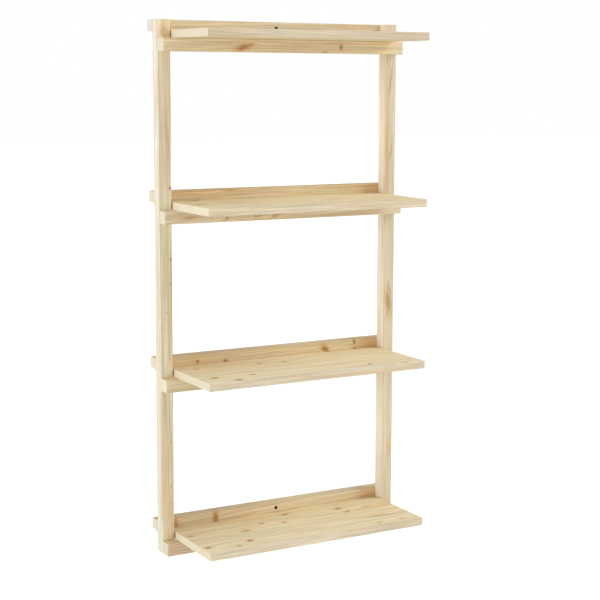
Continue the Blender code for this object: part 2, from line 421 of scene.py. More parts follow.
FACE_DEPTH = 0.0003
ARRIS_REACH = 0.0014
RELIEF_HEIGHT = 0.0003
# Where painted shade starts and ends on a shelf's end, in the slit by an upright.
SLIT_SHADE_EDGE = (-0.003, 0.001)
# How far past the bore's radius the painted shade of the hanging hole fades out, and where it is full.
HOLE_SHADE_EDGE = (0.0011, 0.0003)
BRANCH_LEAN = (math.radians(6.0), math.radians(4.0))
SEED_STEPS = (7.31, 3.17, 5.73)

SAWN_PALE = (0.90, 0.85, 0.76)
# Painted shade along the arrises.
ARRIS_SHADE_BROWN = (0.50, 0.39, 0.26)
# Painted shade in the slit between a shelf's end and an upright.
SLIT_SHADE_BROWN = (0.37, 0.24, 0.06)
# Painted shade in the hanging hole.
HOLE_SHADE_BROWN = (0.13, 0.075, 0.035)


@dataclass(frozen=True)
class Knot:
    """A branch that a board was sawn through, as it shows on the board's face; a few are instead patches of
    painted shade in corners.

    Attributes:
        along: From the left end of the piece, or from its foot, in metres.
        across: From the lower or front edge of a rail or board, or the right edge of a post, in metres.
        radius: Half of its width across the fibres.
        stretch: Its length along the fibres as a share of its width.
        darkness: How dark the branch wood is, from 0 to 1.
        blush: How strong the resin stain round it is, from 0 to 1; on a patch of painted shade, how strong
            that shade is.
        slant: Turn of its long axis on the face, in degrees.
        depth: How far it goes down into the board.
    """

    along: float
    across: float
    radius: float = 0.0035
    stretch: float = 1.4
    darkness: float = 0.6
    blush: float = 0.5
    slant: float = 0.0
    depth: float = 0.010


@dataclass(frozen=True)
class PineFinish:
    """Planed, untreated pine, as one board of it was sawn.

    Attributes:
        pith: Where the heart of the tree lies, across and deep from the middle of the piece.
        drift: How far the heart moves across for each metre along.
        ring: Width of one year's growth.
        seed: Tells the noise of one board from another's.
        early: Colour of the spring wood.
        late: Colour of the summer wood.
        lines: Contrast of the growth rings.
        streaks: Contrast of the broader streaks.
        tint: The board's colour among its neighbours.
        lit_front: Its colour at the front, if the colour changes across; towards the back it turns to its
            tint, darker and warmer, in painted shade.
        edge: Colour of its long narrow edges, as a share of its colour: partly the cut's own colour, partly
            painted light that makes each side as bright and warm as it was lit.
        end: Colour of its sawn ends, as a share of its colour, likewise partly painted light.
        slit_shade_from: Across, from where on its ends lie close to the uprights and carry painted shade, the
            shadow in the narrow slit there.
        hole: A bore whose wall and a thin ring round its mouth carry painted shade: along, across and radius.
        knots: The branches that show.
    """

    pith: tuple[float, float] = (0.030, 0.050)
    drift: float = 0.01
    ring: float = 0.0026
    seed: float = 0.0
    early: Colour = (0.748, 0.670, 0.528)
    late: Colour = (0.553, 0.383, 0.225)
    lines: float = 0.60
    streaks: float = 0.5
    tint: Colour = (1.0, 1.0, 1.0)
    lit_front: Colour | None = None
    edge: Colour = (1.0, 1.0, 1.0)
    end: Colour = (1.0, 1.0, 1.0)
    slit_shade_from: float | None = None
    hole: Point | None = None
    knots: tuple[Knot, ...] = ()

    def material(self, name: str, lay: Lay, low: Vector, high: Vector, effects: Effects) -> Material:
        """Make this board's own material.

        Args:
            name: The material's name.
            lay: How the piece lies.
            low: Lowest corner of the piece.
            high: Highest corner of the piece.
            effects: The shared groups.

        Returns:
            The material.
        """
        material, tree, shader = start_material(name)
        middle = lay.turn() @ ((low + high) / 2)
        half = lay.turn() @ ((high - low) / 2)
        where = tree.out("Object", "ShaderNodeTexCoord")
        place = tree.mapping("POINT", where, tuple(-middle), lay.angles())
        BoardShader(self, effects, tree, place, tuple(abs(part) for part in half)).dress(shader)
        return material


@dataclass
class BoardShader:
    """The nodes that make one board's material.

    Attributes:
        finish: The pine.
        effects: The shared groups.
        tree: The material's tree.
        place: The point that is shaded: along, across and deep from the middle of the board.
        half: Half of the board's size in those directions.
    """

    finish: PineFinish
    effects: Effects
    tree: Tree
    place: Value
    half: Point

    def __post_init__(self) -> None:
        """Find the sawn ends and the board's own noise."""
        self.along, self.across, _ = self.tree.split(self.place)
        self.sawn = self.beyond(self.along, self.half[0])
        self.seed = tuple(self.finish.seed * step for step in SEED_STEPS)

    def beyond(self, part: Value, half: float) -> Value:
        """1 on the two faces that bound the board in one direction, 0 between them."""
        return self.tree.math("GREATER_THAN", abs(part), half - FACE_DEPTH)

    def group(self, group: bpy.types.NodeTree, inputs: Feeds) -> dict[str, Value]:
        """What a shared group gives for the point that is shaded."""
        made = self.tree.node("ShaderNodeGroup", {"Place": self.place, **inputs}, node_tree=group)
        return {socket.name: Value(self.tree, socket) for socket in made.outputs}

    def dress(self, shader: Node) -> None:
        """Lay all the board's effects one over another.

        Args:
            shader: The material's shader node, which is fed with them.
        """
        grain = self.grain()
        relief = self.group(self.effects.relief, {"Seed": self.seed})
        bump = {"Strength": 0.35, "Distance": RELIEF_HEIGHT, **relief}
        self.tree.wire(shader, {
            "Base Color": self.paint_hole_shade(self.paint_slit_shade(self.pale_ends_and_arris_shade(grain["Color"]))),
            "Roughness": grain["Roughness"],
            "Normal": self.tree.out("Normal", "ShaderNodeBump", bump),
            "IOR": 1.45,
            "Specular IOR Level": 0.25,
        })

    def knots(self) -> Feeds:
        """Lay the knots one over another.

        Returns:
            What they leave at the point: branch wood, stain and swollen rings.
        """
        found = dict.fromkeys(KNOT_MARKS, 0.0)
        for knot in self.finish.knots:
            spot = (knot.along - self.half[0], knot.across - self.half[1], self.half[2])
            turn = (*BRANCH_LEAN, math.radians(knot.slant))
            size = (knot.radius * knot.stretch, knot.radius, knot.depth)
            own = self.tree.mapping("TEXTURE", self.place, spot, turn, size)
            found = self.group(self.effects.knot,
                               {"Place": own, "Darkness": knot.darkness, "Blush": knot.blush, **found})
        return found

    def tint(self) -> Value:
        """Tell faces, edges and ends apart, with tints that are partly painted light of each side, and
        painted shade towards the back of a shelf's faces.

        Returns:
            The board's colour on its faces, its narrow edges and its sawn ends.
        """
        tree, finish, front = self.tree, self.finish, self.half[1]
        edge, end = (tuple(whole * part for whole, part in zip(finish.tint, share))
                     for share in (finish.edge, finish.end))
        face = finish.tint
        # Painted shade on the faces: darker and warmer from the front towards the back.
        if finish.lit_front:
            face = tree.blend(tree.ramp(self.across, -front, front), finish.lit_front, finish.tint)
        return tree.blend(self.sawn, tree.blend(self.beyond(self.across, front), face, edge), end)

    def grain(self) -> dict[str, Value]:
        """Lay the bare wood, with softer streaks on the sawn ends.

        Returns:
            Its colour and its roughness.
        """
        finish = self.finish
        streaks = self.sawn * (-0.75 * finish.streaks) + finish.streaks
        return self.group(self.effects.grain, {
            "Pith": (0.0, *finish.pith), "Drift": finish.drift, "Ring": finish.ring, "Seed": self.seed,
            "Early": finish.early, "Late": finish.late, "Lines": finish.lines, "Streaks": streaks,
            "Tint": self.tint(), **self.knots(),
        })

    def pale_ends_and_arris_shade(self, colour: Value) -> Value:
        """Make the sawn ends paler, and paint shade along the arrises.

        Args:
            colour: The colour so far.

        Returns:
            The colour after it.
        """
        arris = self.group(self.effects.arris, {"Half": self.half, "Reach": ARRIS_REACH, "Seed": self.seed})
        colour = self.tree.blend(self.sawn * 0.16, colour, SAWN_PALE)
        return self.tree.blend(arris["Band"] * 0.22, colour, ARRIS_SHADE_BROWN)

    def paint_slit_shade(self, colour: Value) -> Value:
        """Paint shade on the ends where they lie close to the uprights: the shadow in the narrow slit there.

        Args:
            colour: The colour so far.

        Returns:
            The colour after it.
        """
        if self.finish.slit_shade_from is None:
            return colour
        start, end = (self.finish.slit_shade_from - self.half[1] + step for step in SLIT_SHADE_EDGE)
        beside = self.tree.ramp(self.across, start, end, high=0.8)
        return self.tree.blend(self.sawn * beside, colour, SLIT_SHADE_BROWN)

    def paint_hole_shade(self, colour: Value) -> Value:
        """Paint shade on the wall of the hanging hole and a thin ring round its mouth, so that the hole looks
        wider and darker.

        Args:
            colour: The colour so far.

        Returns:
            The colour after it.
        """
        if self.finish.hole is None:
            return colour
        along, across, radius = self.finish.hole
        off = (self.place - (along - self.half[0], across - self.half[1], 0.0)) * (1.0, 1.0, 0.0)
        start, end = (radius + step for step in HOLE_SHADE_EDGE)
        hole_shade = self.tree.ramp(self.tree.vector("LENGTH", off), start, end, high=0.9)
        return self.tree.blend(hole_shade, colour, HOLE_SHADE_BROWN)


@dataclass(frozen=True)
class ZincFinish:
    """Bright zinc plating on steel screws.

    Attributes:
        colour: Colour of the metal.
        pale: Its colour where it is palest.
        dull: Roughness where the plating is dullest.
        bright: Roughness where it is brightest.
        clouds: Patches of bright and dull for each metre.
        grit: Grains for each metre.
        grit_height: Height of the grains.
    """

    colour: Colour = (0.53, 0.53, 0.50)
    pale: Colour = (0.6095, 0.6095, 0.575)
    dull: float = 0.46
    bright: float = 0.26
    clouds: float = 420.0
    grit: float = 2600.0
    grit_height: float = 0.00005

    def material(self, name: str) -> Material:
        """Make the screws' material.

        Args:
            name: The material's name.

        Returns:
            The material.
        """
        material, tree, shader = start_material(name)
        where = tree.out("Object", "ShaderNodeTexCoord")
        cloud = tree.noise(where, (self.clouds,) * 3, (1.3, 2.9, 0.7), detail=3.0, rough=0.6)
        grit = tree.noise(where, (self.grit,) * 3, (0.0, 0.0, 0.0))
        bump = {"Strength": 0.2, "Distance": self.grit_height, "Height": grit}
        tree.wire(shader, {
            "Base Color": tree.blend(cloud, self.colour, self.pale),
            "Roughness": tree.ramp(cloud, 0.35, 0.65, self.bright, self.dull),
            "Metallic": 1.0,
            "Normal": tree.out("Normal", "ShaderNodeBump", bump),
        })
        return material


# Shapes


def link(name: str, data: Mesh | bpy.types.Curve | bpy.types.Camera | bpy.types.Light) -> Object:
    """Put a new object into the scene.

    Args:
        name: Its name.
        data: Its data.

    Returns:
        The object.
    """
    made = bpy.data.objects.new(name, data)
    bpy.context.scene.collection.objects.link(made)
    return made


def drop(*gone: Object) -> None:
    """Take helper objects out of the file."""
    for item in gone:
        bpy.data.objects.remove(item, do_unlink=True)


def frozen_mesh(source: Object, name: str) -> Mesh:
    """The mesh that an object's modifiers give.

    Args:
        source: The object, with its modifiers.
        name: Name of the new mesh.

    Returns:
        A plain mesh in the object's own axes.
    """
    graph = bpy.context.evaluated_depsgraph_get()
    mesh = bpy.data.meshes.new_from_object(source.evaluated_get(graph), depsgraph=graph)
    mesh.name = name
    return mesh


def cut_mesh(blank: Object, cutter: Mesh, sharp: float) -> Mesh:
    """Cut a blank, and smooth what is left.

    Args:
        blank: The object, with the modifiers that come before the cut. It is used up.
        cutter: Closed forms to take out of it.
        sharp: Edges stay sharp that turn by more than this, in degrees.

    Returns:
        The cut mesh.
    """
    tool = link("cutter", cutter)
    cut = blank.modifiers.new("cut", "BOOLEAN")
    cut.operation = "DIFFERENCE"
    cut.solver = "EXACT"
    cut.object = tool
    mesh = frozen_mesh(blank, "cut")
    drop(blank, tool)
    mesh.shade_smooth()
    mesh.set_sharp_from_angle(angle=math.radians(sharp))
    return mesh


def hand_in(piece: Object, slot: str, *nodes: str) -> Object:
    """Put a finished piece in the place of its nodes.

    Args:
        piece: The piece.
        slot: Not used.
        *nodes: The nodes.

    Returns:
        The piece.
    """
    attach(piece, "root")
    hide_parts(*nodes)
    return piece


def rectangle(depth: float, height: float) -> Outline:
    """Corners of a plain section."""
    return [(0.0, 0.0), (depth, 0.0), (depth, height), (0.0, height)]


def spoke(radius: float, turn: float, height: float) -> Vector:
    """The point at a radius, a share of a full turn and a height."""
    angle = 2 * math.pi * turn
    return Vector((radius * math.cos(angle), radius * math.sin(angle), height))


class Solid:
    """Closed shapes, none in another, that are built into one mesh."""

    def __init__(self) -> None:
        """Start with nothing."""
        self.shape = bmesh.new()

    def box(self, low: Vector, high: Vector) -> None:
        """Add a box by its corners."""
        size = Matrix.Diagonal((*(high - low), 1.0))
        bmesh.ops.create_cube(self.shape, size=1.0, matrix=Matrix.Translation((low + high) / 2) @ size)

    def skin(self, rings: list[list[Vector]]) -> None:
        """Add a closed skin over rings of points.

        Args:
            rings: The rings from bottom to top; a ring of one point is a pole.
        """
        rows = [[self.shape.verts.new(point) for point in ring] for ring in rings]
        sides = max(len(row) for row in rows)
        for lower, upper in zip(rows, rows[1:]):
            for step in range(sides):
                after = (step + 1) % sides
                corners = [lower[step % len(lower)], lower[after % len(lower)],
                           upper[after % len(upper)], upper[step % len(upper)]]
                self.shape.faces.new(list(dict.fromkeys(corners)))
        for row in (rows[0], rows[-1]):
            if len(row) > 1:
                self.shape.faces.new(row)

    def turned(self, profile: Outline, sides: int, place: Matrix) -> None:
        """Add a form turned about Z; its profile is radius and height from bottom to top, 0 at a pole."""
        self.skin([[place @ spoke(radius, (step + 0.5) / sides, height)
                    for step in range(sides if radius else 1)] for radius, height in profile])

    def mesh(self, name: str) -> Mesh:
        """Make one mesh of it all, whose faces point out.

        Args:
            name: The mesh's name.

        Returns:
            The mesh.
        """
        bmesh.ops.recalc_face_normals(self.shape, faces=self.shape.faces)
        mesh = bpy.data.meshes.new(name)
        self.shape.to_mesh(mesh)
        self.shape.free()
        return mesh


class Maker:
    """A geometry node tree with named inputs, which makes one kind of mesh."""

    def __init__(self, name: str, inputs: Ports) -> None:
        """Start the tree.

        Args:
            name: The tree's name.
            inputs: The kind of each of its inputs, by name.
        """
        self.group = bpy.data.node_groups.new(name, "GeometryNodeTree")
        face = self.group.interface
        self.keys = {port: face.new_socket(port, in_out="INPUT", socket_type="NodeSocket" + kind).identifier
                     for port, kind in inputs.items()}
        face.new_socket("Geometry", in_out="OUTPUT", socket_type="NodeSocketGeometry")
        self.tree = Tree(self.group)
        source = self.tree.node("NodeGroupInput").outputs
        self.ports = {port: Value(self.tree, source[port]) for port in inputs}

    def close(self, made: Value) -> None:
        """End the tree.

        Args:
            made: What it made, which becomes a real mesh with its material.
        """
        real = self.tree.out(0, "GeometryNodeRealizeInstances", {0: made})
        dressed = {"Geometry": real, "Material": self.ports["Material"]}
        self.tree.node("NodeGroupOutput", {0: self.tree.out(0, "GeometryNodeSetMaterial", dressed)})

    def make(self, name: str, base: Mesh, values: dict[str, object]) -> Mesh:
        """Run the tree.

        Args:
            name: Name of the mesh that it makes.
            base: The mesh that it starts from.
            values: A value for each of its other inputs.

        Returns:
            The made mesh.
        """
        holder = link(name, base)
        maker = holder.modifiers.new(self.group.name, "NODES")
        maker.node_group = self.group
        for port, value in values.items():
            maker[self.keys[port]] = value
        mesh = frozen_mesh(holder, name)
        drop(holder)
        return mesh


class Mouldings(Maker):
    """Runs a section along a straight piece."""

    def __init__(self) -> None:
        """Build the tree."""
        super().__init__("run of timber", {"Section": "Object", "Length": "Float", "Material": "Material"})
        tree, ports = self.tree, self.ports
        section = tree.out("Geometry", "GeometryNodeObjectInfo", {"Object": ports["Section"]})
        line = {"Start": (0.0, 0.0, 0.0), "End": tree.join(ports["Length"], 0.0, 0.0)}
        path = tree.out(0, "GeometryNodeCurvePrimitiveLine", line)
        swept = {"Curve": path, "Profile Curve": section, "Fill Caps": True}
        self.close(tree.out(0, "GeometryNodeCurveToMesh", swept))

    def run(self, outline: Outline, length: float, material: Material) -> Mesh:
        """Run a closed outline along X.

        Args:
            outline: Corners of the section, as depth and height.
            length: Length of the piece.
            material: What the piece is made of.

        Returns:
            The piece, from 0 to its length along X, with its outline in Y and Z.
        """
        curve = bpy.data.curves.new("section", "CURVE")
        curve.dimensions = "3D"
        spline = curve.splines.new("POLY")
        spline.points.add(len(outline) - 1)
        for point, (depth, height) in zip(spline.points, outline):
            point.co = (-depth, -height, 0.0, 1.0)
        spline.use_cyclic_u = True
        section = link("section", curve)
        mesh = self.make("run", bpy.data.meshes.new("blank"),
                         {"Section": section, "Length": length, "Material": material})
        drop(section)
        bpy.data.curves.remove(curve)
        return mesh


class Driver(Maker):
    """Drives a screw at every point, each with its own turn."""

    def __init__(self) -> None:
        """Build the tree."""
        super().__init__("driven screws", {"Heads": "Geometry", "Screw": "Object", "Axis": "Vector",
                                           "Seed": "Int", "Material": "Material"})
        tree, ports = self.tree, self.ports
        screw = tree.out("Geometry", "GeometryNodeObjectInfo", {"Object": ports["Screw"]})
        span = {2: 0.0, 3: math.pi / 2, "Seed": ports["Seed"]}
        angle = tree.out(1, "FunctionNodeRandomValue", span, data_type="FLOAT")
        turn = tree.out(0, "FunctionNodeAxisAngleToRotation", {"Axis": ports["Axis"], "Angle": angle})
        placed = {"Points": ports["Heads"], "Instance": screw, "Rotation": turn}
        self.close(tree.out(0, "GeometryNodeInstanceOnPoints", placed))


@dataclass
class Workshop:
    """What every piece of wood is made with.

    Attributes:
        effects: The shared shader groups.
        mouldings: The tree that runs sections along a piece.
        arris: Radius of the rounded edges.
        steps: Faces across a rounded edge.
        corner: Edges are rounded that turn by more than this, in degrees.
        sharp: Edges of the finished piece stay sharp that turn by more than this.
    """

    effects: Effects
    mouldings: Mouldings
    arris: float = 0.0005
    steps: int = 3
    corner: float = 40.0
    sharp: float = 42.0

    def timber(self, node: str, lay: Lay, finish: PineFinish, slot: str, cutters: Solid,
               outline: Outline | None = None) -> Object:
        """Make one finished piece of wood in place of its node.

        Args:
            node: The node it stands for.
            lay: How it lies, which gives the direction of its fibres.
            finish: The pine that it is cut from.
            slot: Not used.
            cutters: What is cut out of it, in the object's axes.
            outline: Its section: depth from the front, and height from the bottom or the right.

        Returns:
            The piece.
        """
        low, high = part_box(node)
        length, depth, height = high - low
        if lay is Lay.POST:
            length, height = height, length
        wood = finish.material(f"pine, {node.replace('_', ' ')}", lay, low, high, self.effects)
        mesh = self.mouldings.run(outline or rectangle(depth, height), length, wood)
        mesh.transform(lay.stand(low, high))
        blank = link("blank", mesh)
        edges = blank.modifiers.new("rounded arrises", "BEVEL")
        edges.width = self.arris
        edges.segments = self.steps
        edges.limit_method = "ANGLE"
        edges.angle_limit = math.radians(self.corner)
        smooth = link("smooth", cut_mesh(blank, cutters.mesh("cutters"), self.sharp))
        smooth.modifiers.new("flat faces", "WEIGHTED_NORMAL").keep_sharp = True
        final = frozen_mesh(smooth, node)
        drop(smooth)
        return hand_in(link(f"{node}_wood", final), slot, node)


# The pieces


@dataclass
class Fasteners:
    """The countersunk wood screws that join the pieces.

    Attributes:
        driver: The tree that drives them.
        head: Diameter of a screw's head.
        rim: Height of the straight rim over the head's cone.
        shank: Diameter over the thread.
        root: Diameter at the bottom of the thread.
        waist: The plain shank's diameter as a share of the thread's.
        plain: Share of the length that has no thread.
        pitch: From one turn of the thread to the next.
        steepness: How steep the thread's flanks are.
        rows: Rows of faces for each turn of the thread.
        sides: Sides of the turned form.
        tip: Length of the point.
        blunt: Radius that the point ends in.
        run_in: From the end of the thread to the plain shank.
        collar: From the plain shank to the head's cone.
        sharp: Edges stay sharp that turn by more than this, in degrees.
        recess: Span of the cross recess.
        slot: Width of the recess's arms.
        depth: Depth of the recess.
        recess_margin: How far the recess's form stands over the head.
        bore_sides: Sides of a bore.
        bore_margin: How far a bore's cutter stands over the head.
        finish: Their plating.
    """

    driver: Driver
    head: float = 0.008
    rim: float = 0.0004
    shank: float = 0.004
    root: float = 0.0028
    waist: float = 0.86
    plain: float = 0.28
    pitch: float = 0.0018
    steepness: float = 1.6
    rows: int = 5
    sides: int = 24
    tip: float = 0.004
    blunt: float = 0.00015
    run_in: float = 0.0006
    collar: float = 0.0003
    sharp: float = 35.0
    recess: float = 0.0044
    slot: float = 0.0011
    depth: float = 0.0017
    recess_margin: float = 0.001
    bore_sides: int = 16
    bore_margin: float = 0.0015
    finish: ZincFinish = field(default_factory=ZincFinish)

    @staticmethod
    def nodes(kinds: Names, levels: tuple[int, ...] = LEVELS, sides: Names = SIDES) -> list[str]:
        """The nodes of some screws."""
        return [f"{kind}_screw_{level}_{side}" for kind in kinds for level in levels for side in sides]

    @staticmethod
    def seat(node: str) -> tuple[Vector, Matrix, float]:
        """Where a screw sits.

        Args:
            node: The screw's node.

        Returns:
            The middle of its head's face, the turn that lays its length along its axis, and its length.
        """
        low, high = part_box(node)
        middle, size = (low + high) / 2, high - low
        if size.y > size.z:
            return Vector((middle.x, high.y, middle.z)), Matrix.Rotation(-math.pi / 2, 4, "X"), size.y
        return Vector((middle.x, middle.y, low.z)), Matrix.Rotation(math.pi, 4, "X"), size.z

    def cone(self) -> float:
        """From the face of the head down to the end of its cone."""
        return self.rim + (self.head - self.shank) / 2

    def bores(self, nodes: list[str]) -> Solid:
        """Bores and countersinks with room for some screws.

        Args:
            nodes: The screws.

        Returns:
            The forms to cut out.
        """
        cutters = Solid()
        shank, head = self.shank / 2 + FIT_GAP, self.head / 2 + FIT_GAP
        for node in nodes:
            face, turn, length = self.seat(node)
            profile = [(0.0, -length - FIT_GAP), (shank, -length + self.tip), (shank, -self.cone()),
                       (head, -self.rim), (head, self.bore_margin)]
            cutters.turned(profile, self.bore_sides, Matrix.Translation(face) @ turn)
        return cutters

    def thread(self, height: float, end: float, length: float) -> list[Vector]:
        """One ring of points round the thread.

        Args:
            height: Where the ring is.
            end: Where the thread ends, under the plain shank.
            length: From the face of the head to the tip.

        Returns:
            The ring, wider where the thread passes.
        """
        taper = min(1.0, (height + length) / self.tip)
        runout = min(1.0, (end - height) / self.pitch)
        ring = []
        for side in range(self.sides):
            turn = side / self.sides
            wave = abs((height / self.pitch - turn) % 1.0 * 2 - 1)
            flank = max(0.0, wave * self.steepness - self.steepness + 1) * runout
            width = self.root + (self.shank - self.root) * flank
            ring.append(spoke(max(self.blunt, width / 2 * taper), turn, height))
        return ring

    def screw(self, length: float) -> Mesh:
        """One screw with its thread and recess, head up at the origin.

        Args:
            length: From the face of the head to the tip.

        Returns:
            The screw's mesh.
        """
        end = -self.plain * length
        rows = int((length + end) / self.pitch * self.rows)
        rings = [self.thread(-length + (length + end) * row / rows, end, length) for row in range(rows + 1)]
        waist, shank, head = self.shank / 2 * self.waist, self.shank / 2, self.head / 2
        for radius, height in ((waist, end + self.run_in), (waist, -self.cone() - self.collar),
                               (shank, -self.cone()), (head, -self.rim), (head, 0.0)):
            rings.append([spoke(radius, side / self.sides, height) for side in range(self.sides)])
        body = Solid()
        body.skin(rings)
        return cut_mesh(link("screw", body.mesh("screw")), self.cross(), self.sharp)

    def cross(self) -> Mesh:
        """The form of the cross recess, half as wide at its bottom.

        Returns:
            The form to cut out.
        """
        arm, slot = self.recess / 2, self.slot / 2
        outline = [Matrix.Rotation(quarter * math.pi / 2, 4, "Z") @ Vector((x, y, 0.0))
                   for quarter in range(4) for x, y in ((arm, slot), (slot, slot), (slot, arm))]
        form = Solid()
        form.skin([[point / 2 - Vector((0.0, 0.0, self.depth)) for point in outline],
                   [point + Vector((0.0, 0.0, self.recess_margin)) for point in outline]])
        return form.mesh("recess")

    def build(self) -> list[Object]:
        """Drive all screws, one piece for each kind.

        Returns:
            The pieces.
        """
        steel = self.finish.material("zinc-plated steel")
        pieces = []
        for seed, kind in enumerate(("rear_rail", "front_rail", "shelf"), start=3):
            nodes = self.nodes((kind,))
            seats = [self.seat(node) for node in nodes]
            _, turn, length = seats[0]
            mesh = self.screw(length)
            mesh.transform(turn)
            screw = link("screw", mesh)
            heads = bpy.data.meshes.new("heads")
            heads.from_pydata([tuple(face) for face, _, _ in seats], [], [])
            axis = tuple(turn @ Vector((0.0, 0.0, 1.0)))
            values = {"Screw": screw, "Axis": axis, "Seed": seed, "Material": steel}
            driven = self.driver.make(f"{kind}_screws", heads, values)
            drop(screw)
            pieces.append(hand_in(link(f"{kind}_screws", driven), "zinc_plated_steel", *nodes))
        return pieces


@dataclass
class Uprights:
    """The two posts.

    Attributes:
        shop: What they are made with.
        fasteners: The screws that go into them.
        finishes: The pine of each, by side.
    """

    shop: Workshop
    fasteners: Fasteners
    finishes: dict[str, PineFinish]

    def build(self) -> list[Object]:
        """Make both posts with the bores of their screws."""
        return [self.post(side) for side in SIDES]

    def post(self, side: str) -> Object:
        """Make one post."""
        cutters = self.fasteners.bores(self.fasteners.nodes(("rear_rail", "front_rail"), sides=(side,)))
        return self.shop.timber(f"upright_{side}", Lay.POST, self.finishes[side], "pine_uprights", cutters)


@dataclass
class Level:
    """One level: a front rail, the shelf on it, and the rear rail over the shelf's tongue.

    Attributes:
        number: 1 for the lowest.
        shop: What it is made with.
        fasteners: Its screws.
        front: The pine of the front rail.
        board: The pine of the shelf.
        rear: The pine of the rear rail.
        hung: Whether the rear rail has a hanging hole.
        tongue: Depth of the tongue along the back of the shelf.
        drop: From the top of the shelf down to the tongue.
        undercut: Height of the cut along the lower back of the rear rail.
        undercut_depth: How far that cut reaches in from the wall.
        shoulder: Length of the slope in front of it.
        hole: Diameter of the hanging hole.
        hole_drop: From the top of the rear rail to the middle of the hole.
        hole_sides: Sides of the hole.
    """

    number: int
    shop: Workshop
    fasteners: Fasteners
    front: PineFinish
    board: PineFinish
    rear: PineFinish
    hung: bool
    tongue: float = 0.0083
    drop: float = 0.002
    undercut: float = 0.004
    undercut_depth: float = 0.015
    shoulder: float = 0.009
    hole: float = 0.007
    hole_drop: float = 0.0135
    hole_sides: int = 40

    def build(self) -> list[Object]:
        """Make the level's three pieces of wood."""
        return [self.front_rail(), self.shelf(), self.rear_rail()]

    def bores(self, *kinds: str) -> Solid:
        """The bores of the level's screws of some kinds."""
        return self.fasteners.bores(self.fasteners.nodes(kinds, (self.number,)))

    def front_rail(self) -> Object:
        """The rail that the shelf lies on."""
        return self.shop.timber(f"front_rail_{self.number}", Lay.RAIL, self.front, "pine_rails",
                                self.bores("front_rail", "shelf"))

    def shelf(self) -> Object:
        """The board, rebated along the back of its top.

        Returns:
            The piece.
        """
        node = f"shelf_{self.number}"
        low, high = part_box(node)
        cutters = self.bores("shelf")
        cutters.box(Vector((low.x - CUT_MARGIN, high.y - self.tongue, high.z - self.drop)),
                    high + Vector((CUT_MARGIN,) * 3))
        # From here back, the shelf's ends get painted shade: the shadow in the slit by the uprights.
        pine = replace(self.board, slit_shade_from=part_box("upright_left")[0].y - low.y)
        return self.shop.timber(node, Lay.BOARD, pine, "pine_shelves", cutters)

    def rear_rail(self) -> Object:
        """The rail behind the uprights, with its housing, undercut and hanging hole.

        Returns:
            The piece.
        """
        node = f"rear_rail_{self.number}"
        low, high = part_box(node)
        width, depth, height = high - low
        inner = depth - self.undercut_depth
        outline = [(0.0, 0.0), (inner - self.shoulder, 0.0), (inner, self.undercut), (depth, self.undercut),
                   (depth, height), (0.0, height)]
        cutters = self.bores("rear_rail")
        _, shelf_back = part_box(f"shelf_{self.number}")
        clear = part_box("upright_right")[0].x
        cutters.box(Vector((-clear, low.y - CUT_MARGIN, low.z - CUT_MARGIN)),
                    Vector((clear, shelf_back.y + FIT_GAP, shelf_back.z - self.drop + FIT_GAP)))
        pine, radius = self.rear, self.hole / 2
        if self.hung:
            mouth = Matrix.Translation((0.0, high.y, high.z - self.hole_drop))
            cutters.turned([(radius, -CUT_MARGIN), (radius, depth + CUT_MARGIN)], self.hole_sides,
                           mouth @ Matrix.Rotation(math.pi / 2, 4, "X"))
            # The hole's wall and the ring round its mouth get painted shade.
            pine = replace(pine, hole=(width / 2, height - self.hole_drop, radius))
        return self.shop.timber(node, Lay.RAIL, pine, "pine_rails", cutters, outline)


# The picture


@dataclass(frozen=True)
class Lamp:
    """A distant soft lamp.

    Attributes:
        name: Its name.
        towards: Direction from the object to the lamp.
        strength: Its strength.
        softness: How wide it looks from the object, in degrees.
        colour: Its colour.
    """

    name: str
    towards: Point
    strength: float
    softness: float
    colour: Colour

    def hang(self) -> None:
        """Put the lamp in its place."""
        data = bpy.data.lights.new(self.name, "SUN")
        data.energy = self.strength
        data.angle = math.radians(self.softness)
        data.color = self.colour
        lamp = link(self.name, data)
        lamp.rotation_mode = "QUATERNION"
        lamp.rotation_quaternion = Vector(self.towards).to_track_quat("Z", "Y")


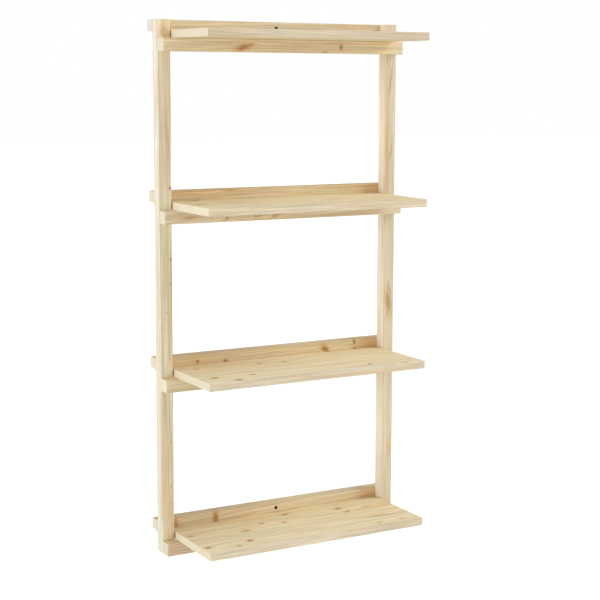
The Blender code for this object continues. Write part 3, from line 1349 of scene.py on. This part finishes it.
@dataclass
class Studio:
    """Pale floor, white surroundings, soft lamps and the camera.

    Attributes:
        floor_drop: From the foot of the shelf down to the floor.
        floor_size: Side of the floor.
        floor_colour: Its colour.
        floor_lift: How much whiter the camera sees it.
        ambient: Strength of the light from all round.
        ambient_colour: Colour of that light.
        lamps: The lamps.
        lens: Focal length in millimetres on a sensor 36 mm wide.
        azimuth: Turn of the camera's view to the right, in degrees.
        pitch: How far the camera looks down, in degrees.
        roll: Turn of the camera about its view, in degrees.
        shift: The lens shift that frames the picture, across and up.
        stand: Where the camera stands.
        sight: How far it sees.
    """

    floor_drop: float = 0.42
    floor_size: float = 60.0
    floor_colour: Colour = (0.86, 0.86, 0.85)
    floor_lift: float = 0.25
    ambient: float = 0.66
    ambient_colour: Colour = (1.0, 0.94, 0.85)
    lamps: tuple[Lamp, ...] = (
        Lamp("side lamp", (-1.0, -0.06, 0.06), 2.56, 30.0, (0.61, 0.765, 1.0)),
        Lamp("upper lamp", (0.70, -0.28, 0.66), 1.97, 34.0, (0.87, 0.98, 1.0)),
    )
    lens: float = 89.46
    azimuth: float = 29.95
    pitch: float = 7.775
    roll: float = 0.26
    shift: tuple[float, float] = (-0.0267, -0.030)
    stand: Point = (-1.6036, -2.9935, -0.1100)
    sight: float = 100.0

    def build(self) -> None:
        """Set up everything round the object."""
        self.camera()
        self.surroundings()
        self.floor()
        for lamp in self.lamps:
            lamp.hang()
        bpy.context.scene.view_settings.view_transform = "Standard"

    def camera(self) -> None:
        """Place the camera at the photograph's viewpoint."""
        data = bpy.data.cameras.new("camera")
        data.sensor_width = 36.0
        data.lens = self.lens
        data.shift_x, data.shift_y = self.shift
        data.clip_end = self.sight
        camera = link("camera", data)
        turn = (Matrix.Rotation(-math.radians(self.azimuth), 4, "Z")
                @ Matrix.Rotation(math.radians(90.0 - self.pitch), 4, "X")
                @ Matrix.Rotation(math.radians(self.roll), 4, "Z"))
        camera.matrix_world = Matrix.Translation(self.stand) @ turn
        bpy.context.scene.camera = camera

    def surroundings(self) -> None:
        """Even light from all round, white where the camera looks past the object."""
        world = bpy.data.worlds.new("studio")
        world.use_nodes = True
        bpy.context.scene.world = world
        tree, nodes = Tree(world.node_tree), world.node_tree.nodes
        light = nodes["Background"]
        tree.wire(light, {"Color": self.ambient_colour, "Strength": self.ambient})
        white = tree.out(0, "ShaderNodeBackground", {"Color": (1.0, 1.0, 1.0), "Strength": 1.0})
        mix = {0: self.past_object(tree), 1: Value(tree, light.outputs[0]), 2: white}
        tree.wire(nodes["World Output"], {"Surface": tree.out(0, "ShaderNodeMixShader", mix)})

    @staticmethod
    def past_object(tree: Tree) -> Value:
        """Tell what the camera sees straight on, in a reflection or through glass.

        Args:
            tree: The tree that asks.

        Returns:
            1 for that, 0 for the rest.
        """
        camera, glossy, through = (tree.out(f"Is {kind} Ray", "ShaderNodeLightPath")
                                   for kind in ("Camera", "Glossy", "Transmission"))
        return tree.math("MAXIMUM", tree.math("MAXIMUM", camera, glossy), through)

    def floor(self) -> None:
        """A plain pale floor under the shelf that takes its soft shadow."""
        half = self.floor_size / 2
        level = CAD_BOX[0].z - self.floor_drop
        mesh = bpy.data.meshes.new("floor")
        corners = [(-half, -half, level), (half, -half, level), (half, half, level), (-half, half, level)]
        mesh.from_pydata(corners, [], [(0, 1, 2, 3)])
        material, tree, shader = start_material("pale floor")
        tree.wire(shader, {"Base Color": self.floor_colour, "Roughness": 1.0, "Specular IOR Level": 0.0})
        lift = {"Color": (1.0, 1.0, 1.0), "Strength": self.past_object(tree) * self.floor_lift}
        both = {0: Value(tree, shader.outputs[0]), 1: tree.out(0, "ShaderNodeEmission", lift)}
        tree.wire(material.node_tree.nodes["Material Output"],
                  {"Surface": tree.out(0, "ShaderNodeAddShader", both)})
        mesh.materials.append(material)
        link("floor", mesh)


# The boards, as they show in the photograph
# A knot's numbers are along, across, radius, stretch, darkness and blush

UPRIGHT_PINE = {
    "left": PineFinish((0.050, 0.030), seed=1.0, ring=0.0024, drift=0.006, streaks=0.65,
                       tint=(1.11, 1.11, 1.07), edge=(0.92, 0.92, 0.95), knots=(
        Knot(0.160, 0.014, 0.0100, 8.0, 0.0, 0.36), Knot(0.580, 0.002, 0.0050, 120.0, 0.0, 0.55, depth=0.006),
        Knot(0.112, 0.009, 0.0016, 1.0, 0.35), Knot(0.150, 0.007, 0.0020, 1.0, 0.45),
        Knot(0.250, 0.006, 0.0018, 1.0, 0.45), Knot(0.538, 0.014, 0.0016, 0.8, 0.35),
        Knot(0.602, 0.004, 0.0018, 1.0, 0.45), Knot(0.655, 0.003, 0.0026, 1.2, 0.50),
        # The last knot is painted contact shade: a brown patch where the post's front meets the top front
        # rail.
        Knot(0.810, 0.003, 0.0028, 1.2, 0.55), Knot(1.142, 0.013, 0.0110, 1.0, 0.20, 0.42, depth=0.008),
    )),
    "right": PineFinish((-0.050, 0.028), seed=2.0, ring=0.0034, drift=0.006, streaks=0.40, lines=0.5,
                        tint=(1.01, 0.99, 0.95), edge=(1.08, 1.06, 1.02), knots=(
        Knot(0.524, 0.0145, 0.0068, 2.8, 0.28, 0.8, slant=6.0),
        Knot(0.556, 0.012, 0.0018, 8.0, 0.30, 0.3, slant=22.0),
        Knot(0.500, 0.016, 0.0018, 6.0, 0.26, 0.3, slant=-20.0),
        Knot(0.875, 0.012, 0.0018, 12.0, 0.22, 0.4, slant=-12.0),
        Knot(1.040, 0.014, 0.0022, 12.0, 0.22, 0.4, slant=-8.0),
        Knot(0.860, 0.0215, 0.0042, 90.0, 0.08, 0.50, depth=0.007),
        Knot(0.170, 0.010, 0.0040, 3.0, 0.05, 0.45),
    )),
}

FRONT_PINE = {
    1: PineFinish((-0.030, 0.040), seed=11.0, ring=0.0028, tint=(0.94, 0.83, 0.75), edge=(1.06, 1.06, 0.96)),
    2: PineFinish((0.040, 0.030), seed=12.0, tint=(1.04, 0.99, 0.86), edge=(1.0, 0.93, 0.86),
                  knots=(Knot(0.452, 0.012, 0.004),)),
    3: PineFinish((-0.020, -0.045), seed=13.0, ring=0.0030, drift=0.03, lines=0.75,
                  tint=(1.03, 0.98, 0.90), end=(0.95, 0.93, 0.90), knots=(
        Knot(0.060, 0.012, 0.0030, 5.0, 0.20, 0.5, slant=6.0),
        Knot(0.148, 0.008, 0.0034, 1.5, 0.28, 0.3, slant=35.0),
        Knot(0.225, 0.010, 0.0030, 3.0, 0.26, 0.3, slant=8.0),
        Knot(0.268, 0.009, 0.0034, 2.4, 0.28, 0.3, slant=14.0),
    )),
    4: PineFinish((0.020, 0.050), seed=14.0, ring=0.0030, lines=0.42,
                  tint=(1.10, 1.02, 0.90), edge=(1.10, 1.13, 1.15), end=(0.88, 0.87, 0.86), knots=(
        Knot(0.188, 0.010, 0.0052, 2.2, 0.42, 1.0, slant=14.0),
        Knot(0.203, 0.014, 0.0038, 2.0, 0.22, 0.9, slant=24.0),
        Knot(0.435, 0.014, 0.0038, 1.3, 0.50, 0.8, slant=90.0), Knot(0.393, 0.003, 0.0020, 2.0, 0.35, 0.3),
    )),
}

# A rear rail's darker, greyer top edge is painted shade.
REAR = PineFinish(edge=(0.74, 0.74, 0.75), end=(0.88, 0.92, 0.95))

REAR_PINE = {
    1: replace(REAR, pith=(0.030, -0.050), seed=21.0, ring=0.0032, drift=0.04,
               tint=(1.08, 1.0, 0.89), edge=(0.77, 0.77, 0.77), knots=(
        # Painted shade: a stain without a branch, in the corner by the right upright.
        Knot(0.560, 0.010, 0.0100, 2.0, 0.0, 0.62, depth=0.014),
        Knot(0.144, 0.014, 0.0058, 1.8, 0.42, 0.9, slant=90.0),
        # Painted shade: a soft brown patch in the corner by the left upright.
        Knot(0.042, 0.012, 0.0070, 1.6, 0.32, 0.9, slant=90.0),
    )),
    2: replace(REAR, pith=(-0.020, 0.055), seed=22.0, tint=(1.06, 0.97, 0.82), knots=(
        # The first knot is painted shade: a stain without a branch, in the corner by the right upright.
        Knot(0.560, 0.012, 0.0105, 2.0, 0.0, 0.65, depth=0.014), Knot(0.101, 0.012, 0.0034, 1.0, 0.60),
        Knot(0.170, 0.008, 0.0030, 1.0, 0.60), Knot(0.430, 0.012, 0.0060, 1.3, 0.48, 0.9, slant=-40.0),
        Knot(0.510, 0.022, 0.0034, 1.5, 0.55, slant=90.0), Knot(0.511, 0.007, 0.0026, 1.3, 0.40),
    )),
    3: replace(REAR, pith=(0.045, 0.040), seed=23.0, ring=0.0030, streaks=0.65,
               tint=(1.07, 0.98, 0.85), edge=(0.71, 0.71, 0.71), knots=(
        # The first knot is painted shade: a stain without a branch, in the corner by the right upright.
        Knot(0.562, 0.010, 0.0095, 1.8, 0.0, 0.42, depth=0.014), Knot(0.105, 0.005, 0.0018, 5.0, 0.35, 0.4),
        Knot(0.185, 0.024, 0.0018, 7.0, 0.25, 0.4, slant=-2.0),
    )),
    4: replace(REAR, pith=(-0.050, 0.020), seed=24.0, ring=0.0034, drift=0.03, lines=0.7,
               tint=(1.0, 0.98, 0.94), end=(0.91, 0.91, 0.97)),
}

# A shelf's bluer front edge is painted light.
# A shelf's face, paler at the front, darkens and warms towards the back in painted shade.
BOARD = PineFinish(drift=0.02, tint=(0.95, 0.86, 0.68), lit_front=(0.94, 0.92, 0.83), edge=(1.03, 1.10, 1.36),
                   end=(1.05, 1.07, 1.10))

BOARD_PINE = {
    1: replace(BOARD, pith=(0.020, -0.060), seed=31.0, ring=0.0024, knots=(
        Knot(0.016, 0.131, 0.0042, 1.3, 0.45), Knot(0.140, 0.107, 0.0048, 1.5, 0.45, 0.9),
        Knot(0.196, 0.139, 0.0042, 1.1, 0.45), Knot(0.245, 0.124, 0.0042, 1.2, 0.45, slant=20.0),
        Knot(0.275, 0.176, 0.0052, 1.4, 0.55, 0.8), Knot(0.407, 0.158, 0.0056, 1.4, 0.65, 0.7),
        Knot(0.414, 0.127, 0.0046, 1.3, 0.45, slant=30.0), Knot(0.472, 0.140, 0.0050, 1.3, 0.20),
        Knot(0.013, 0.039, 0.0052, 1.3, 0.60, 0.8), Knot(0.078, 0.020, 0.0040, 1.2, 0.50),
        Knot(0.115, 0.041, 0.0054, 1.3, 0.70, 0.7), Knot(0.433, 0.017, 0.0044, 1.3, 0.22, slant=25.0),
        Knot(0.497, 0.019, 0.0044, 1.3, 0.18), Knot(0.470, 0.063, 0.0042, 6.0, 0.22, 0.5, slant=-7.0),
        Knot(0.113, 0.206, 0.0040, 1.3, 0.50),
    )),
    2: replace(BOARD, pith=(-0.030, -0.050), seed=32.0, knots=(
        Knot(0.042, 0.154, 0.0046, 1.2, 0.40, slant=40.0), Knot(0.196, 0.151, 0.0052, 1.2, 0.50),
        Knot(0.255, 0.143, 0.0052, 1.3, 0.38), Knot(0.036, 0.052, 0.0056, 1.5, 0.80, 0.6, slant=-12.0),
        Knot(0.125, 0.047, 0.0044, 1.4, 0.72), Knot(0.072, 0.010, 0.0052, 1.5, 0.80, 0.8),
        Knot(0.410, 0.027, 0.0046, 1.9, 0.50, 0.2, slant=38.0), Knot(0.492, 0.006, 0.0034, 1.6, 0.50, 0.35),
        Knot(0.140, 0.205, 0.0044, 1.3, 0.50), Knot(0.405, 0.207, 0.0044, 1.3, 0.50, 0.8),
        Knot(0.480, 0.206, 0.0044, 1.3, 0.45),
    )),
    3: replace(BOARD, pith=(0.040, -0.070), seed=33.0, drift=-0.03, tint=(0.95, 0.87, 0.68),
               lit_front=(0.89, 0.84, 0.73), edge=(1.07, 1.11, 1.35), end=(1.07, 1.10, 1.12), knots=(
        Knot(0.058, 0.192, 0.0070, 1.4, 0.55), Knot(0.022, 0.088, 0.0085, 1.6, 0.42),
        Knot(0.350, 0.092, 0.0080, 1.8, 0.16), Knot(0.115, 0.095, 0.0070, 2.0, 0.16),
    )),
    4: replace(BOARD, pith=(-0.020, -0.065), seed=34.0, tint=(0.98, 0.89, 0.69), lit_front=None,
               edge=(0.99, 1.05, 1.31), end=(0.98, 0.99, 1.04), knots=(
        Knot(0.120, 0.060, 0.0050), Knot(0.210, 0.150, 0.0060, blush=0.8), Knot(0.330, 0.045, 0.0048),
        Knot(0.385, 0.170, 0.0044), Knot(0.470, 0.100, 0.0056),
    )),
}


def main() -> None:
    """Build the whole picture and report each piece."""
    logging.basicConfig(level=logging.INFO, format="%(name)s: %(message)s")
    Studio().build()
    shop = Workshop(Effects(), Mouldings())
    fasteners = Fasteners(Driver())
    pieces = Uprights(shop, fasteners, UPRIGHT_PINE).build()
    for number in LEVELS:
        pines = (FRONT_PINE[number], BOARD_PINE[number], REAR_PINE[number])
        pieces += Level(number, shop, fasteners, *pines, hung=number in (LEVELS[0], LEVELS[-1])).build()
    pieces += fasteners.build()
    for piece in pieces:
        LOG.info("%s: %d faces", piece.name, len(piece.data.polygons))


if __name__ == "__main__":
    main()
